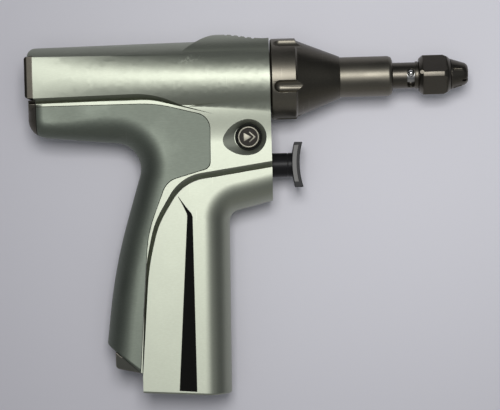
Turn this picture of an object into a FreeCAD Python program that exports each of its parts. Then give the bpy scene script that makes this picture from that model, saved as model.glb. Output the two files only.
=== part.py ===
"""Battery surgical reciprocating saw, handpiece without its blade or battery.

Millimetres. The saw lies on its left flank: +X runs forward along the drive
axis to the blade, +Y is the top of the barrel, away from the grip, and +Z
comes out of the right flank. The origin is the mouth of the blade socket on
the drive axis. Lengths along X are given from the front face of the housing,
and every piece is moved back by the reach of the nose when it is written.
"""

import FreeCAD, Part
import math
import os

V = FreeCAD.Vector
X_AXIS = V(1, 0, 0)
Y_AXIS = V(0, 1, 0)
Z_AXIS = V(0, 0, 1)

# How far cutting blocks run past the saw, and how far a bore's cutter overshoots its end
beyond = 250.0
overshoot = 2.0

# Nose, from the front face of the housing forward
cone_length = 35.0
nose_tube_length = 26.3
sleeve_length = 13.3
knob_length = 15.7
tip_length = 8.7
knob_front_x = cone_length + nose_tube_length + sleeve_length + knob_length
nose_reach = knob_front_x + tip_length

# Barrel
housing_length = 119.5
barrel_front_radius = 20.0
barrel_half_width = 17.0
barrel_roof = 18.6
roof_flat_half = 9.5
roof_flat_drop = 0.7
roof_edge = 13.4
roof_crown = 0.2
flank_crown = 0.5
flank_foot = -7.0
barrel_keel = -16.0
barrel_blend_x = 62.0
barrel_blend = 0.6
rear_top_round = 4.6

# Lower body: the lobe below the barrel, the trigger housing and the handle
body_half = 15.0
body_overhang = 0.8
body_length = housing_length + body_overhang
body_top = -5.0
lobe_depth = 25.3
lobe_corner = 9.0
web_x = -61.4
web_y = -31.4
web_radius = 13.0
handle_rear_x = -79.6
handle_rear_y = -91.0
handle_rear_bow = 265.0
handle_rear_foot_x = -89.6
handle_front_x = -21.8
handle_front_lean = 1.6
front_depth = 60.6
front_rise = 5.2
front_web_radius = 6.0
handle_foot = 156.0
foot_front_x = 10.0
foot_front_rise = 1.2
foot_rear_rise = 5.4
foot_corner_x = -32.8
foot_corner_round = 10.0
foot_spare = 14.0
flank_land = 1.5
handle_edge_round = body_half - flank_land
lobe_edge_round = 8.0

# Hollow web that blends the barrel into the trigger housing
web_hollow = 20.0
web_hollow_rear = 1.5
web_length = 40.0
web_lap = 0.15

# Thumb rest on top of the barrel
rest_start = -43.0
rest_peak_x = -28.0
rest_peak = 22.7
rest_front = 20.2
rest_run_up = 6.5
rest_sink = 4.0
rest_side_y = 6.4
rest_crown = 0.3
notch_count = 5
notch_first_x = -21.5
notch_pitch = 3.4
notch_radius = 0.9
notch_depth = 0.55

# Rear shell and its seam against the housing
seam_gap = 0.3
shell_top = -11.2
shell_bend_x = -57.0
shell_bend_round = 60.0
shell_nose_x = -30.2
shell_nose_y = -18.2
shell_nose_round = 8.0
shell_nose_lean = 0.5
shell_throat_x = -52.5
shell_throat_y = -43.4
shell_throat_drop = 6.0
shell_throat_round = 10.0
shell_waist_x = -62.5
shell_waist_y = -75.0
shell_waist_round = 60.0
shell_foot_x = -68.0
shell_foot_y = -143.6
shell_foot_slope = 0.854
shell_foot_round = 1.5

# Seam along the top and rear of the front grip: x, y, corner radius, and the
# shares of the groove's width by which its upper edge leaves the seam in x and y
grip_foot_x = -66.8
grip_seam = [
    (5.0, -43.3, 0, 0, 1),
    (-44.0, -50.4, 22, -0.5, 1),
    (-57.0, -71.0, 45, -0.7, 0.4),
    (-62.3, -92.0, 120, -0.6, 0),
    (grip_foot_x, -146.0, 0, -0.1, 0),
]
foot_edge_round = 1.0
groove_width = 3.0
groove_depth = 2.0
groove_floor = 0.3

# Crease under the barrel
crease_width = 3.0
crease_depth = 2.0
crease_floor = 0.3
crease_rise = 0.9
crease_bend_x = -60.0
crease_bend_round = 45.0
crease_lower_round = 30.0
crease_end_x = -27.8
crease_end_y = -17.1

# Rear caps
cap_length = 4.2
cap_proud = 1.7
cap_top = 13.8
cap_bottom = -6.9
cap_edge_round = 1.6
cap_gap = 0.5
lower_cap_length = 4.4
lower_cap_front = lower_cap_length - body_length
lower_cap_top = -7.9
cap_spigot_length = 4.0
cap_seat_x = cap_length - cap_proud - housing_length

# Barrel bore and the chassis inside the handle
bore_radius = 13.6
barrel_wall = 2.3
seat_gap = 0.05
running_gap = 0.05
shell_clearance = 0.15
chassis_half = 12.2
chassis_top = -47.0
chassis_foot = -136.0
chassis_front_x = -30.5
chassis_rear_top_x = -58.0
chassis_rear_foot_x = -74.5
chassis_shoulder = 12.0
chassis_shoulder_y = -62.0
chassis_round = 6.0

# Battery bay, open at the foot of the handle
bay_front_x = -34.0
bay_rear_x = -65.0
bay_half_width = 9.5
bay_roof = -93.0
bay_mouth = -144.4
board_bay_rear_x = -57.0
board_bay_roof = -57.0
heel_rear_x = -80.1
heel_length = 13.0
heel_step = 3.0
heel_round = 3.0
heel_rear_round = 2.0
heel_gap = 0.25

# Nose cone with its fluted collar, and the tube ahead of it
collar_radius = 20.2
collar_length = 12.9
collar_edge = 1.0
collar_step = 0.8
collar_gap = 0.5
nose_spigot_length = 5.0
cone_rear_radius = 18.9
cone_front_radius = 10.4
flute_count = 5
flute_first_x = 2.0
flute_length = 12.6
flute_radius = 3.3
flute_depth = 2.2
flute_turn = 13.4
nose_tube_radius = 10.0
tube_edge = 2.2
tube_bore_radius = 7.0

# Plunger and its bushes
cam_throw = 1.6
plunger_end_gap = 0.6
plunger_cup_gap = 0.6
plunger_cup_wall = 2.6
plunger_cup_length = 24.0
plunger_floor = 3.5
plunger_radius = 4.5
plunger_front_x = -(nose_spigot_length + cam_throw + plunger_end_gap)
plunger_floor_x = plunger_front_x - plunger_floor
follower_radius = 1.9
follower_gap = 0.25
follower_inset = 0.1
bush_wall = 2.2
bush_inner = plunger_radius + running_gap
bush_outer = bush_inner + bush_wall
rear_bush_x = 2.0
rear_bush_length = 12.0
front_bush_length = 10.0
front_bush_x = cone_length + 5.0
front_bush_end_x = front_bush_x + front_bush_length
seal_length = 2.0

# Barrel cam and its bearing, from the plunger backward
cam_end_gap = 0.7
cam_radius = 9.0
cam_length = 22.0
cam_groove_width = 4.2
cam_groove_depth = 2.6
cam_front_x = plunger_floor_x - cam_throw - cam_end_gap
cam_rear_x = cam_front_x - cam_length
cam_middle_x = cam_front_x - cam_length / 2
drive_shaft_radius = 5.0
drive_bearing_length = 5.0
bearing_stand_off = 7.7
bearing_front_x = cam_rear_x - bearing_stand_off

# Planet gears and their carrier
gear_module = 0.6
sun_teeth = 12
planet_teeth = 12
planet_count = 3
ring_teeth = sun_teeth + 2 * planet_teeth
tooth_thinning = 0.13
planet_reach = gear_module * (sun_teeth + planet_teeth) / 2
planet_pin_radius = 1.4
planet_pin_gap = 0.5
carrier_rim = 1.6
carrier_length = 2.6
carrier_gap = 0.6
carrier_front_x = bearing_front_x - drive_bearing_length - carrier_gap
carrier_rear_x = carrier_front_x - carrier_length
gear_length = 10.0
gear_front_x = carrier_rear_x - carrier_gap
gear_rear_x = gear_front_x - gear_length
ring_overhang = 1.5

# Motor, which fills the bore between the gears and the rear cap
motor_gap = 2.0
motor_front_x = gear_rear_x - ring_overhang - motor_gap
motor_rear_x = cap_seat_x + cap_spigot_length + motor_gap
can_wall = 1.1
can_bore = bore_radius - seat_gap - can_wall
winding_wall = 4.6
winding_gap = 2.0
air_gap = 0.5
magnet_end_gap = 5.0
rotor_shaft_radius = 2.0
motor_bearing_length = 4.0
motor_bearing_radius = 5.0

# Blade collet
sleeve_radius = 6.5
sleeve_engage = 5.5
slot_centre = 9.1
slot_width = 3.7
slot_from = -12.0
slot_to = 52.0
detent_radius = 1.65
detent_height = 0.9
detent_sink = 2.5
detent_turn = -8.0
sleeve_ring_width = 1.2
sleeve_ring_radius = 6.9
sleeve_ring_gap = 0.5
knob_radius = 9.85
knob_flat = 7.7
knob_flat_count = 4
knob_flat_end = 1.8
knob_rear_edge = 1.9
knob_rear_drop = 1.6
knob_front_edge = 3.6
knob_front_drop = 2.2
knob_pin_radius = 1.1
knob_pin_depth = 2.2
knob_pin_x = 1.3
knob_rear_x = knob_front_x - knob_length
detent_x = knob_rear_x - sleeve_length + slot_centre
tip_rear_radius = 7.7
tip_front_radius = 5.5
tip_gap = 0.25
tip_edge = 1.5
tip_shank = 4.0
tip_shank_x = knob_front_x - tip_shank
socket_radius = 2.6
socket_length = 12.0
blade_slot_width = 1.1
blade_slot_depth = 3.0
blade_slot_turn = 38.0
grip_notch_count = 4
grip_notch_start = 1.4
grip_notch_width = 1.5
grip_notch_length = 4.4
grip_notch_depth = 2.0
grip_notch_turn = -18.0

# Trigger
trigger_y = -43.0
trigger_travel = 7.0
stem_radius = 6.0
stem_front_x = 10.2
stem_length = 33.0
stem_rear_x = stem_front_x - stem_length
stem_groove_x = 7.6
stem_groove_width = 0.5
stem_groove_depth = 0.3
stem_bore_gap = 0.6
stem_bore_end_x = stem_rear_x - trigger_travel - 2.0
trigger_bush_wall = 1.5
trigger_bush_length = 22.0
trigger_bush_radius = stem_radius + running_gap + trigger_bush_wall
pad_half_height = 11.2
pad_back_x = 9.8
pad_thickness = 3.9
pad_hollow = 38.0
pad_half_width = 7.5
pad_edge_round = 0.3
pad_arc_x = pad_back_x + pad_thickness + pad_hollow
inlay_back_rim = 0.35
inlay_width = 2.0
inlay_top_rim = 1.5
inlay_foot_rim = 2.7
inlay_depth = 0.5

# Mode button, a cross bolt through both flanks
button_x = -11.3
button_y = -28.9
button_radius = 5.35
button_hole_radius = 6.0
button_face = 14.6
button_length = 3.6
button_throw = 3.5
button_edge = 0.4
button_recess_radius = 4.55
button_recess_depth = 0.45
bolt_radius = 4.5
dish_radius = 9.0
dish_side_radius = 15.0
dish_tip_reach = 7.9
dish_tip_drop = 1.4
dish_tip_radius = 5.0
dish_depth = 2.0
dish_floor = 0.5
dish_floor_side = 8.0
dish_floor_reach = 1.2
dish_floor_tip = 5.9

# Controller board and battery contacts
board_length = 26.0
board_width = 18.0
board_thickness = 1.6
board_drop = 2.0
contact_block_length = 22.0
contact_block_height = 4.0
contact_count = 4
contact_pitch = 4.6
contact_inset = 4.1
contact_width = 10.0
contact_thickness = 0.8
contact_slot_gap = 0.8
contact_slot_depth = 3.0
contact_tip_gap = 0.4


def rounded(corners, z=0.0):
    """Closed wire through (x, y, radius) corners in a plane at height z."""
    arcs = []
    count = len(corners)
    for i, (x, y, radius) in enumerate(corners):
        point = V(x, y, z)
        if radius == 0:
            arcs.append((point, None, point))
            continue
        back = (V(corners[i - 1][0], corners[i - 1][1], z) - point).normalize()
        ahead = (V(corners[(i + 1) % count][0], corners[(i + 1) % count][1], z) - point).normalize()
        half = back.getAngle(ahead) / 2
        run = radius / math.tan(half)
        bisector = (back + ahead).normalize()
        middle = point + bisector * (radius / math.sin(half) - radius)
        arcs.append((point + back * run, middle, point + ahead * run))
    edges = []
    for i, (start, middle, end) in enumerate(arcs):
        if middle is not None:
            edges.append(Part.Arc(start, middle, end).toShape())
        following = arcs[(i + 1) % count][0]
        if (following - end).Length > 1e-6:
            edges.append(Part.LineSegment(end, following).toShape())
    return Part.Wire(edges)


def prism(corners, z_from, z_to):
    """Solid of a rounded outline between two heights."""
    face = Part.Face(rounded(corners, z_from))
    return face.extrude(V(0, 0, z_to - z_from))


def cutter(corners):
    """Prism of an outline right through the saw."""
    return prism(corners, -beyond, beyond)


def box(x_from, x_to, y_from, y_to, z_from, z_to):
    """Box between two corners."""
    return Part.makeBox(x_to - x_from, y_to - y_from, z_to - z_from, V(x_from, y_from, z_from))


def rod(radius, x_from, x_to, y=0.0):
    """Cylinder along X, on the drive axis or at another height."""
    return Part.makeCylinder(radius, x_to - x_from, V(x_from, y, 0), X_AXIS)


def tube(outer, inner, x_from, x_to):
    """Hollow cylinder on the drive axis."""
    return rod(outer, x_from, x_to).cut(rod(inner, x_from, x_to))


def turned(profile):
    """Solid of revolution about the drive axis from (x, radius) points."""
    points = [V(x, radius, 0) for x, radius in profile]
    wire = Part.makePolygon(points + [points[0]])
    return Part.Face(wire).revolve(V(0, 0, 0), X_AXIS, 360)


def spun(shape, degrees):
    """Copy of a shape turned about the drive axis."""
    copy = shape.copy()
    copy.rotate(V(0, 0, 0), X_AXIS, degrees)
    return copy


def both_sides(shape):
    """A shape and its mirror image across the middle plane of the saw."""
    return shape.fuse(shape.mirror(V(0, 0, 0), Z_AXIS))


def edges_where(shape, chosen):
    """Edges of a shape whose middle point passes a test."""
    edges = []
    for edge in shape.Edges:
        middle = edge.valueAt((edge.FirstParameter + edge.LastParameter) / 2)
        if chosen(middle, edge):
            edges.append(edge)
    return edges


def write(name, shape):
    """Move a piece back by the reach of the nose and write its STEP file."""
    placed = shape.copy()
    placed.translate(V(-nose_reach, 0, 0))
    placed.exportStep("parts/" + name + ".step")


def barrel_section(x, forward):
    """Barrel wire at x, from the flat-sided rear (0) to the round front (1)."""
    def on_circle(degrees):
        angle = math.radians(degrees)
        return V(x, barrel_front_radius * math.sin(angle), barrel_front_radius * math.cos(angle))

    chamfer_height = (barrel_roof + roof_edge) / 2
    chamfer_width = (roof_flat_half + barrel_half_width) / 2
    rear = [
        V(x, barrel_roof, 0),
        V(x, barrel_roof - roof_flat_drop, roof_flat_half),
        V(x, chamfer_height + roof_crown, chamfer_width + roof_crown),
        V(x, roof_edge, barrel_half_width),
        V(x, (roof_edge + flank_foot) / 2, barrel_half_width + flank_crown),
        V(x, flank_foot, barrel_half_width),
        V(x, barrel_keel, 0),
    ]
    front = [on_circle(degrees) for degrees in (90, 62, 50, 38, 0, -36, -90)]
    half = [a * (1 - forward) + b * forward for a, b in zip(rear, front)]
    top, top_end, roof_mid, roof_end, flank_mid, foot, keel = half
    mirror = [V(p.x, p.y, -p.z) for p in half]
    arcs = [
        (V(mirror[1]), top, top_end),
        (top_end, roof_mid, roof_end),
        (roof_end, flank_mid, foot),
        (foot, keel, mirror[5]),
        (mirror[5], mirror[4], mirror[3]),
        (mirror[3], mirror[2], mirror[1]),
    ]
    return Part.Wire([Part.Arc(a, b, c).toShape() for a, b, c in arcs])


def barrel():
    """Barrel that is flat-sided at the rear and round at the nose."""
    rear = barrel_section(-housing_length, 0.0)
    middle = barrel_section(-barrel_blend_x, barrel_blend)
    front = barrel_section(0.0, 1.0)
    return Part.makeLoft([rear, middle, front], True, False)


def lower_body():
    """Rear lobe, trigger housing and handle as one slab with rounded edges."""
    slab_foot = -handle_foot - foot_spare
    corners = [
        (0, body_top, 0),
        (0, -front_depth, 0),
        (handle_front_x, -front_depth - front_rise, front_web_radius),
        (handle_front_x - handle_front_lean, slab_foot, 0),
        (handle_rear_foot_x, slab_foot, 0),
        (handle_rear_x, handle_rear_y, handle_rear_bow),
        (web_x, web_y, web_radius),
        (-body_length, -lobe_depth, lobe_corner),
        (-body_length, body_top, 0),
    ]
    slab = prism(corners, -body_half, body_half)
    return taper_fillet(slab, lower_body_edges(slab))


def lower_body_edges(slab):
    """Edges of the flanks with their two radii: full on the handle, less on the lobe."""
    chosen = []
    slack = 1.0
    slab_foot = -handle_foot - foot_spare
    for number, edge in enumerate(slab.Edges, 1):
        middle = edge.valueAt((edge.FirstParameter + edge.LastParameter) / 2)
        start = edge.valueAt(edge.FirstParameter)
        on_flank = abs(abs(middle.z) - body_half) < 1e-6
        on_end = middle.x > -1e-6 or middle.y > body_top - slack or middle.y < slab_foot + slack
        if on_end or not on_flank:
            continue
        if middle.y < web_y - slack:
            chosen.append((number, handle_edge_round, handle_edge_round))
        elif middle.x < lobe_corner - body_length:
            chosen.append((number, lobe_edge_round, lobe_edge_round))
        elif start.x > middle.x:
            chosen.append((number, handle_edge_round, lobe_edge_round))
        else:
            chosen.append((number, lobe_edge_round, handle_edge_round))
    return chosen


def taper_fillet(shape, edges):
    """Fillet numbered edges, each with a radius at its start and at its end."""
    document = FreeCAD.newDocument()
    base = document.addObject("Part::Feature", "base")
    base.Shape = shape
    fillet = document.addObject("Part::Fillet", "fillet")
    fillet.Base = base
    fillet.Edges = edges
    document.recompute()
    result = fillet.Shape.copy()
    FreeCAD.closeDocument(document.Name)
    return result


def rest_crest():
    """Side profile of the thumb rest as one smooth curve."""
    swell = 0.4
    crest = Part.BSplineCurve()
    crest.interpolate([
        V(rest_start, barrel_roof - rest_sink, 0),
        V(rest_start + rest_run_up, barrel_roof + swell, 0),
        V(rest_peak_x, rest_peak, 0),
        V(rest_peak_x / 2, (rest_peak + rest_front + swell) / 2, 0),
        V(0, rest_front, 0),
    ])
    return crest


def thumb_rest():
    """Low saddle on top of the barrel."""
    foot = barrel_roof - rest_sink
    base = foot - overshoot
    outline = Part.Wire([
        rest_crest().toShape(),
        Part.LineSegment(V(0, rest_front, 0), V(0, base, 0)).toShape(),
        Part.LineSegment(V(0, base, 0), V(rest_start, base, 0)).toShape(),
        Part.LineSegment(V(rest_start, base, 0), V(rest_start, foot, 0)).toShape(),
    ])
    saddle = Part.Face(outline).extrude(V(0, 0, 2 * barrel_half_width))
    saddle.translate(V(0, 0, -barrel_half_width))
    return saddle.common(rod(rest_peak - rest_side_y + rest_crown, rest_start, 0, rest_side_y))


def web_section(x, hollow):
    """Wire of the web across the saw: a hollow arc that touches barrel and flank."""
    round_radius = barrel_front_radius - web_lap
    flank = body_half - web_lap
    heart_z = flank + hollow
    heart_y = -math.sqrt((round_radius + hollow) ** 2 - heart_z ** 2)
    heart = V(x, heart_y, heart_z)
    upper = V(x, 0, 0) + (heart - V(x, 0, 0)) * (round_radius / (round_radius + hollow))
    lower = V(x, heart_y, flank)
    middle = heart + ((upper + lower) / 2 - heart).normalize() * hollow
    inside = V(x, upper.y, flank - web_lap)
    return Part.Wire([
        Part.Arc(upper, middle, lower).toShape(),
        Part.LineSegment(lower, V(x, lower.y, inside.z)).toShape(),
        Part.LineSegment(V(x, lower.y, inside.z), inside).toShape(),
        Part.LineSegment(inside, upper).toShape(),
    ])


def flank_web():
    """Hollow web on both flanks, dying away toward the rear."""
    front = web_section(0.0, web_hollow)
    rear = web_section(-web_length, web_hollow_rear)
    return both_sides(Part.makeLoft([rear, front], True, True))


def thumb_notches():
    """Round cutters for the notches across the thumb rest."""
    crest = rest_crest()
    cutters = []
    for i in range(notch_count):
        x = notch_first_x + i * notch_pitch
        top = crest.value(crest.parameter(V(x, rest_front, 0)))
        start = V(top.x, top.y + notch_radius - notch_depth, -barrel_front_radius)
        cutters.append(Part.makeCylinder(notch_radius, 2 * barrel_front_radius, start, Z_AXIS))
    return Part.makeCompound(cutters)


def shell_region(grow):
    """Outline of the rear shell, grown by a gap on its seams."""
    rear = lower_cap_front - grow
    return [
        (rear, shell_top + grow, 0),
        (shell_bend_x, shell_top + grow, shell_bend_round),
        (shell_nose_x + grow, shell_nose_y + grow, shell_nose_round),
        (shell_nose_x + grow - shell_nose_lean, shell_throat_y - grow, shell_nose_round / 2),
        (shell_throat_x + grow, shell_throat_y - shell_throat_drop - grow, shell_throat_round),
        (shell_waist_x + grow, shell_waist_y, shell_waist_round),
        (shell_foot_x + grow, shell_foot_y - grow, 0),
        (rear, shell_foot_line(rear) - grow, 0),
    ]


def shell_foot_line(x):
    """Height of the slanted foot of the rear shell."""
    return shell_foot_y + (shell_foot_x - x) * shell_foot_slope


def shell_foot_at(y):
    """Place along X where the slanted foot of the rear shell has a height."""
    return shell_foot_x - (y - shell_foot_y) / shell_foot_slope


def grip_line(grow):
    """Corners of the seam along the top and rear of the front grip."""
    line = []
    for x, y, radius, share_x, share_y in grip_seam:
        line.append((x + grow * share_x, y + grow * share_y, radius))
    return line


def grip_region(grow):
    """Outline of the front grip, grown by a gap on its seam."""
    line = grip_line(grow)
    return line + [(line[-1][0], -beyond, 0), (line[0][0], -beyond, 0)]


def chassis_block(grow):
    """Box chassis inside the handle, before its bays are cut, grown by a clearance."""
    outline = [
        (chassis_front_x + grow, chassis_top + grow, 0),
        (chassis_front_x + grow, chassis_foot - grow, 0),
        (chassis_rear_foot_x - grow, chassis_foot - grow, 0),
        (chassis_rear_top_x - grow, chassis_shoulder_y, chassis_round),
        (chassis_rear_top_x + chassis_shoulder, chassis_top + grow, 0),
    ]
    half = chassis_half + grow
    return prism(outline, -half, half)


def receiver_block(grow):
    """Mouth ring of the battery bay below the chassis, before the bay is cut."""
    top = chassis_foot + grow
    foot = bay_mouth - grow
    rear = heel_rear_x - grow
    outline = [
        (chassis_front_x + grow, top, 0),
        (chassis_front_x + grow, foot, 0),
        (heel_rear_x + heel_length, foot, heel_round),
        (rear, foot + heel_step, heel_rear_round),
        (rear, shell_foot_line(heel_rear_x) - heel_gap + grow, 0),
        (shell_foot_at(chassis_foot + heel_gap), top, 0),
    ]
    half = chassis_half + grow
    return prism(outline, -half, half)


def heel_room():
    """Open space behind the grip's skirt and below the rear shell."""
    return cutter([
        (grip_foot_x, -beyond, 0),
        (grip_foot_x, bay_mouth + heel_gap, 0),
        (shell_foot_x, shell_foot_y, 0),
        (-body_length, shell_foot_line(-body_length), 0),
        (-body_length, -beyond, 0),
    ])


def handle_foot_cut():
    """Everything below the foot of the handle."""
    return cutter([
        (foot_front_x, foot_front_rise - handle_foot, 0),
        (foot_corner_x, -handle_foot, foot_corner_round),
        (-housing_length, foot_rear_rise - handle_foot, 0),
        (-housing_length, -beyond, 0),
        (foot_front_x, -beyond, 0),
    ])


def barrel_tube(grow):
    """Round wall of the bore, from the rear cap to the front face."""
    return rod(bore_radius + barrel_wall + grow, cap_seat_x, 0)


def egg(big, small, side, reach, drop, z):
    """Egg-shaped wire: a large and a small round end joined by two side arcs."""
    heart = V(button_x, button_y, z)
    tip = V(button_x - reach, button_y - drop, z)
    away = (tip - heart).normalize()
    across = V(-away.y, away.x, 0)
    span = (tip - heart).Length
    along = ((side - big) ** 2 - (side - small) ** 2 + span ** 2) / (2 * span)
    aside = math.sqrt((side - big) ** 2 - along ** 2)

    def joints(turn):
        centre = heart + away * along - across * aside * turn
        at_big = heart + (heart - centre).normalize() * big
        at_small = tip + (tip - centre).normalize() * small
        middle = centre + ((at_big + at_small) / 2 - centre).normalize() * side
        return at_big, middle, at_small

    big_left, left, small_left = joints(1)
    big_right, right, small_right = joints(-1)
    return Part.Wire([
        Part.Arc(big_left, heart - away * big, big_right).toShape(),
        Part.Arc(big_right, right, small_right).toShape(),
        Part.Arc(small_right, tip + away * small, small_left).toShape(),
        Part.Arc(small_left, left, big_left).toShape(),
    ])


def button_dish():
    """Egg-shaped hollow that slopes down to the mode button."""
    radius = button_hole_radius + dish_floor
    low = body_half - dish_depth
    top = body_half + seat_gap
    floor = egg(radius, dish_floor_tip, dish_floor_side, dish_floor_reach, 0.0, low)
    rim = egg(dish_radius, dish_tip_radius, dish_side_radius, dish_tip_reach, dish_tip_drop, top)
    return Part.makeLoft([floor, rim], True, True)


def button_bore():
    """Cross bore for the mode bolt, wider where the buttons travel."""
    def cross(radius, z_from, z_to):
        return Part.makeCylinder(radius, z_to - z_from, V(button_x, button_y, z_from), Z_AXIS)

    seat = button_face - button_length - button_throw - dish_floor
    mouth = cross(button_hole_radius, seat, body_half + overshoot)
    return cross(bolt_radius + running_gap, -body_half, body_half).fuse(both_sides(mouth))


def trigger_bush_bore():
    """Bore for the trigger's bush through the front face."""
    return rod(trigger_bush_radius + seat_gap, -trigger_bush_length, overshoot, trigger_y)


def stem_bore():
    """Room for the trigger's stem behind its bush."""
    return rod(stem_radius + stem_bore_gap, stem_bore_end_x, overshoot, trigger_y)


def groove_cut():
    """Slanted step on both flanks, from the housing down to the edge of the grip."""
    def band(width, z):
        upper = grip_line(width)
        lower = grip_line(-1.0)
        foot = (lower[-1][0] + groove_width, lower[-1][1], 0)
        return rounded(upper + [foot] + lower[-2::-1], z)

    floor = band(groove_floor, body_half - groove_depth)
    step = Part.makeLoft([floor, band(groove_width, body_half)], True, True)
    above = Part.Face(band(groove_width, body_half)).extrude(V(0, 0, beyond))
    return both_sides(step.fuse(above))


def crease_cut():
    """Slanted step under the barrel that dies away toward the nose."""
    rear = -body_length - overshoot
    foot = flank_foot - crease_width
    bend_foot = foot + crease_rise

    def band(width, z):
        return rounded([
            (rear, foot + width, 0),
            (crease_bend_x, bend_foot + width, crease_bend_round),
            (crease_end_x, crease_end_y, 0),
            (crease_bend_x, bend_foot, crease_lower_round),
            (rear, foot, 0),
        ], z)

    floor = band(crease_floor, body_half - crease_depth)
    step = Part.makeLoft([floor, band(crease_width, barrel_half_width)], True, True)
    above = Part.Face(band(crease_width, barrel_half_width)).extrude(V(0, 0, beyond))
    rail = prism([
        (rear, foot + crease_floor, 0),
        (crease_bend_x, bend_foot + crease_floor, crease_lower_round),
        (crease_end_x, crease_end_y, 0),
        (shell_bend_x, barrel_keel, 0),
        (rear, barrel_keel, 0),
    ], body_half, beyond)
    return both_sides(step.fuse([above, rail]))


def rear_top_cut():
    """Waste outside the rounded corner between the roof and the rear end."""
    inner_x = -housing_length + rear_top_round
    inner_y = barrel_roof - rear_top_round
    waste = box(-beyond, inner_x, inner_y, beyond, -beyond, beyond)
    return waste.cut(Part.makeCylinder(rear_top_round, 2 * beyond, V(inner_x, inner_y, -beyond), Z_AXIS))


def envelope():
    """Outer form of the housing before it is parted."""
    form = barrel().cut(rear_top_cut()).fuse([lower_body(), thumb_rest(), flank_web()])
    return form.cut(crease_cut()).cut(handle_foot_cut()).cut(heel_room())


def rear_cap_room():
    """Space at the rear that the two caps fill."""
    upper = box(-beyond, cap_seat_x, -lobe_depth - overshoot, cap_top + seam_gap, -beyond, beyond)
    lower = box(-beyond, lower_cap_front, -lobe_depth - overshoot, lower_cap_top + cap_gap, -beyond, beyond)
    return upper.fuse(lower)


def main_housing(form):
    """Barrel, trigger housing and the narrow rail down each side of the handle."""
    body = form.cut(cutter(shell_region(seam_gap)))
    body = body.cut(cutter(grip_region(seam_gap)))
    body = body.cut(rear_cap_room())
    body = body.cut(groove_cut())
    body = body.cut(chassis_block(seat_gap))
    body = body.cut(receiver_block(seat_gap))
    body = body.fuse(barrel_tube(0.0))
    body = body.cut(rod(bore_radius, -beyond, overshoot))
    body = body.cut(both_sides(button_dish()))
    body = body.cut(button_bore())
    body = body.cut(trigger_bush_bore())
    body = body.cut(stem_bore())
    return body.cut(thumb_notches())


def rear_shell(form):
    """Rear cover of the lower body and the back of the handle."""
    body = form.common(cutter(shell_region(0.0)))

    def foot_edge(middle, edge):
        off_foot = abs(middle.y - shell_foot_line(middle.x))
        return off_foot < 1e-3 and middle.x < shell_foot_x - 1 and edge.Length > 1

    body = body.makeFillet(shell_foot_round, edges_where(body, foot_edge))
    body = body.cut(barrel_tube(shell_clearance))
    body = body.cut(chassis_block(shell_clearance))
    body = body.cut(receiver_block(shell_clearance))
    return body.cut(stem_bore())


def front_grip(form):
    """Front cover of the handle with the skirt around the battery mouth."""
    body = form.common(cutter(grip_region(0.0)))

    def foot_edge(middle, edge):
        near_foot = middle.y < foot_rear_rise / 2 + foot_edge_round - handle_foot
        return near_foot and edge.Length > 3 and middle.x > grip_foot_x + 1

    body = body.makeFillet(foot_edge_round, edges_where(body, foot_edge))
    body = body.cut(chassis_block(shell_clearance))
    inside = chassis_half + shell_clearance
    skirt_front = chassis_front_x + shell_clearance
    body = body.cut(box(-beyond, skirt_front, -beyond, chassis_foot, -inside, inside))
    body = body.cut(trigger_bush_bore())
    return body.cut(stem_bore())


def battery_bay():
    """Room for the battery, open at the foot."""
    return box(bay_rear_x, bay_front_x, -beyond, bay_roof, -bay_half_width, bay_half_width)


def handle_chassis():
    """Box frame in the handle around the battery bay and the board."""
    side = bay_half_width
    board_bay = box(board_bay_rear_x, bay_front_x, bay_roof - 1, board_bay_roof, -side, side)
    return chassis_block(0.0).cut(battery_bay()).cut(board_bay).cut(stem_bore())


def battery_receiver():
    """Mouth ring of the battery bay with the heel that shows below the shell."""
    return receiver_block(0.0).cut(battery_bay())


def rear_cap_upper():
    """Cap that closes the motor bore, with a spigot into it."""
    rear = cap_seat_x - cap_length
    plate = box(rear, cap_seat_x, cap_bottom, cap_top, -barrel_half_width, barrel_half_width)

    def rear_edge(middle, edge):
        return abs(middle.x - rear) < 1e-6

    plate = plate.makeFillet(cap_edge_round, edges_where(plate, rear_edge))
    spigot = rod(bore_radius - seat_gap, cap_seat_x, cap_seat_x + cap_spigot_length)
    return plate.fuse(spigot).removeSplitter()


def rear_cap_lower(form):
    """Cap on the rear of the lower body."""
    front = lower_cap_front - seam_gap
    cap = form.common(box(-beyond, front, -lobe_depth - overshoot, lower_cap_top, -beyond, beyond))
    return cap.cut(rod(bore_radius + barrel_wall + seam_gap, cap_seat_x - seam_gap, 0))


def nose_cone():
    """Fluted collar and cone in one piece, spigoted into the housing."""
    cone = turned([
        (-nose_spigot_length, 0),
        (-nose_spigot_length, bore_radius - seat_gap),
        (collar_gap, bore_radius - seat_gap),
        (collar_gap, collar_radius - collar_edge),
        (collar_gap + collar_edge * 0.6, collar_radius),
        (collar_length, collar_radius),
        (collar_length + collar_step, cone_rear_radius),
        (cone_length, cone_front_radius),
        (cone_length, 0),
    ])
    flute = flute_cutter()
    for i in range(flute_count):
        cone = cone.cut(spun(flute, flute_turn + i * 360.0 / flute_count))
    return cone.cut(rod(bush_outer + seat_gap, -nose_spigot_length - 1, cone_length + 1))


def flute_cutter():
    """Round-ended flute that runs out on the cone, on the right flank."""
    start = V(flute_first_x + flute_radius, 0, collar_radius - flute_depth + flute_radius)
    body = Part.makeCylinder(flute_radius, flute_length, start, X_AXIS)
    return body.fuse(Part.makeSphere(flute_radius, start))


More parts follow.
